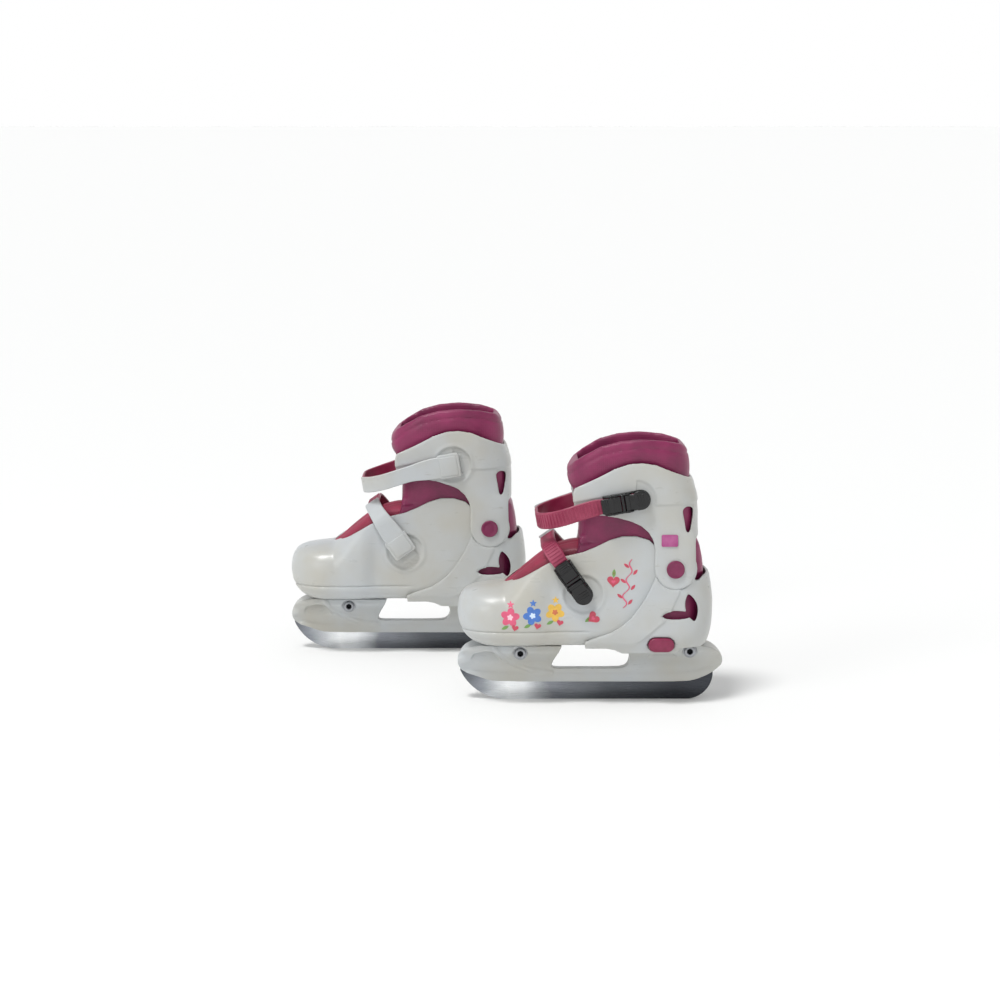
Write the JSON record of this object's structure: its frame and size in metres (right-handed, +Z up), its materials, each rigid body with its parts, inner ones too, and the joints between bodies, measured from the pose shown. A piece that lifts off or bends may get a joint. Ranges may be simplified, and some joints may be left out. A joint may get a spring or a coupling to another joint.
{
  "type": "pair of ice skates",
  "caption": "Pair of hard-shell ice skates with adjustable toes, hinged ankle cuffs, ratchet buckles, padded liners and steel blades in moulded holders.",
  "frame": {"origin": "centre of the pair's box on the surface that the blades stand on", "axes": "+Z up, +X from the toes to the heels, -X the way the toes point, +Y from the left skate to the right skate"},
  "size_m": [0.4136, 0.3528, 0.246],
  "materials": {
    "white_shell": "moulded, semi-gloss, slightly aged white",
    "blade_steel": "ground and polished steel",
    "zinc_steel": "zinc-plated, dulled",
    "magenta_plastic": "moulded, semi-gloss",
    "crimson_plastic": "moulded, semi-gloss",
    "label_pink": "plain glossy plate",
    "magenta_liner": "coated padded fabric with a soft sheen",
    "crimson_padding": "padded fabric",
    "crimson_strap": "toothed flexible strap",
    "insole_foam": "thin foam with a fabric top",
    "black_plastic": "glass-filled nylon, glossy"
  },
  "bodies": {
    "left_chassis": {"left_heel_shell": "white_shell", "left_blade_holder": "white_shell", "left_blade": "blade_steel", "left_mount_bolts": "zinc_steel", "left_mount_nuts": "zinc_steel", "left_pivot_rivets": "zinc_steel", "left_pivot_caps": "magenta_plastic", "left_liner_boot": "magenta_liner", "left_insole": "insole_foam", "left_tongue": "crimson_padding"},
    "left_toe": {"left_toe_shell": "white_shell", "left_lower_buckle_base": "black_plastic", "left_lower_buckle_pins": "zinc_steel", "left_lower_strap": "crimson_strap", "left_lower_strap_cover": "white_shell", "left_lower_rivets": "zinc_steel"},
    "left_ankle": {"left_cuff": "white_shell", "left_liner_collar": "magenta_liner", "left_upper_buckle_base": "black_plastic", "left_upper_buckle_pins": "zinc_steel", "left_upper_strap": "crimson_strap", "left_upper_strap_cover": "white_shell", "left_upper_rivets": "zinc_steel", "left_label_plate": "label_pink"},
    "left_size_button_body": {"left_size_button": "crimson_plastic"},
    "left_upper_lever_body": {"left_upper_lever": "black_plastic"},
    "left_upper_tab_body": {"left_upper_tab": "black_plastic"},
    "left_lower_lever_body": {"left_lower_lever": "black_plastic"},
    "left_lower_tab_body": {"left_lower_tab": "black_plastic"},
    "right_chassis": {"right_heel_shell": "white_shell", "right_blade_holder": "white_shell", "right_blade": "blade_steel", "right_mount_bolts": "zinc_steel", "right_mount_nuts": "zinc_steel", "right_pivot_rivets": "zinc_steel", "right_pivot_caps": "magenta_plastic", "right_liner_boot": "magenta_liner", "right_insole": "insole_foam", "right_tongue": "crimson_padding"},
    "right_toe": {"right_toe_shell": "white_shell", "right_lower_buckle_base": "black_plastic", "right_lower_buckle_pins": "zinc_steel", "right_lower_strap": "crimson_strap", "right_lower_strap_cover": "white_shell", "right_lower_rivets": "zinc_steel"},
    "right_ankle": {"right_cuff": "white_shell", "right_liner_collar": "magenta_liner", "right_upper_buckle_base": "black_plastic", "right_upper_buckle_pins": "zinc_steel", "right_upper_strap": "crimson_strap", "right_upper_strap_cover": "white_shell", "right_upper_rivets": "zinc_steel", "right_label_plate": "label_pink"},
    "right_size_button_body": {"right_size_button": "crimson_plastic"},
    "right_upper_lever_body": {"right_upper_lever": "black_plastic"},
    "right_upper_tab_body": {"right_upper_tab": "black_plastic"},
    "right_lower_lever_body": {"right_lower_lever": "black_plastic"},
    "right_lower_tab_body": {"right_lower_tab": "black_plastic"}
  },
  "joints": [
    {"name": "left_cuff_hinge", "type": "hinge", "parent": "left_chassis", "child": "left_ankle", "pos_m": [0.16225, -0.125, 0.128], "axis": [0, -1, 0], "range_deg": [-5, 5]},
    {"name": "left_toe_size_slide", "type": "slide", "parent": "left_chassis", "child": "left_toe", "axis": [-1, 0, 0], "range_m": [0, 0.02]},
    {"name": "left_size_button_press", "type": "slide", "parent": "left_chassis", "child": "left_size_button_body", "axis": [0, 1, 0], "range_m": [0, 0.003], "stiffness_N_per_m": 1200},
    {"name": "left_upper_lever_hinge", "type": "hinge", "parent": "left_ankle", "child": "left_upper_lever_body", "pos_m": [0.11822, -0.1738, 0.19035], "axis": [0.1736, 0, -0.9848], "range_deg": [0, 75]},
    {"name": "left_upper_tab_hinge", "type": "hinge", "parent": "left_ankle", "child": "left_upper_tab_body", "pos_m": [0.10443, -0.1738, 0.18792], "axis": [-0.1736, 0, 0.9848], "range_deg": [0, 15], "stiffness_Nm_per_rad": 0.05},
    {"name": "left_lower_lever_hinge", "type": "hinge", "parent": "left_toe", "child": "left_lower_lever_body", "pos_m": [0.0714, -0.1705, 0.11436], "axis": [-0.8192, 0, -0.5736], "range_deg": [0, 75]},
    {"name": "left_lower_tab_hinge", "type": "hinge", "parent": "left_toe", "child": "left_lower_tab_body", "pos_m": [0.06337, -0.1705, 0.12583], "axis": [0.8192, 0, 0.5736], "range_deg": [0, 15], "stiffness_Nm_per_rad": 0.05},
    {"name": "right_cuff_hinge", "type": "hinge", "parent": "right_chassis", "child": "right_ankle", "pos_m": [-0.00775, 0.125, 0.128], "axis": [0, -1, 0], "range_deg": [-5, 5]},
    {"name": "right_toe_size_slide", "type": "slide", "parent": "right_chassis", "child": "right_toe", "axis": [-1, 0, 0], "range_m": [0, 0.02]},
    {"name": "right_size_button_press", "type": "slide", "parent": "right_chassis", "child": "right_size_button_body", "axis": [0, -1, 0], "range_m": [0, 0.003], "stiffness_N_per_m": 1200},
    {"name": "right_upper_lever_hinge", "type": "hinge", "parent": "right_ankle", "child": "right_upper_lever_body", "pos_m": [-0.05178, 0.1738, 0.19035], "axis": [-0.1736, 0, 0.9848], "range_deg": [0, 75]},
    {"name": "right_upper_tab_hinge", "type": "hinge", "parent": "right_ankle", "child": "right_upper_tab_body", "pos_m": [-0.06557, 0.1738, 0.18792], "axis": [0.1736, 0, -0.9848], "range_deg": [0, 15], "stiffness_Nm_per_rad": 0.05},
    {"name": "right_lower_lever_hinge", "type": "hinge", "parent": "right_toe", "child": "right_lower_lever_body", "pos_m": [-0.0986, 0.1705, 0.11436], "axis": [0.8192, 0, 0.5736], "range_deg": [0, 75]},
    {"name": "right_lower_tab_hinge", "type": "hinge", "parent": "right_toe", "child": "right_lower_tab_body", "pos_m": [-0.10663, 0.1705, 0.12583], "axis": [-0.8192, 0, -0.5736], "range_deg": [0, 15], "stiffness_Nm_per_rad": 0.05},
    {"name": "right_skate_lift", "type": "slide", "parent": "left_chassis", "child": "right_chassis", "axis": [0, 0, 1], "range_m": [0, 0.35]}
  ]
}
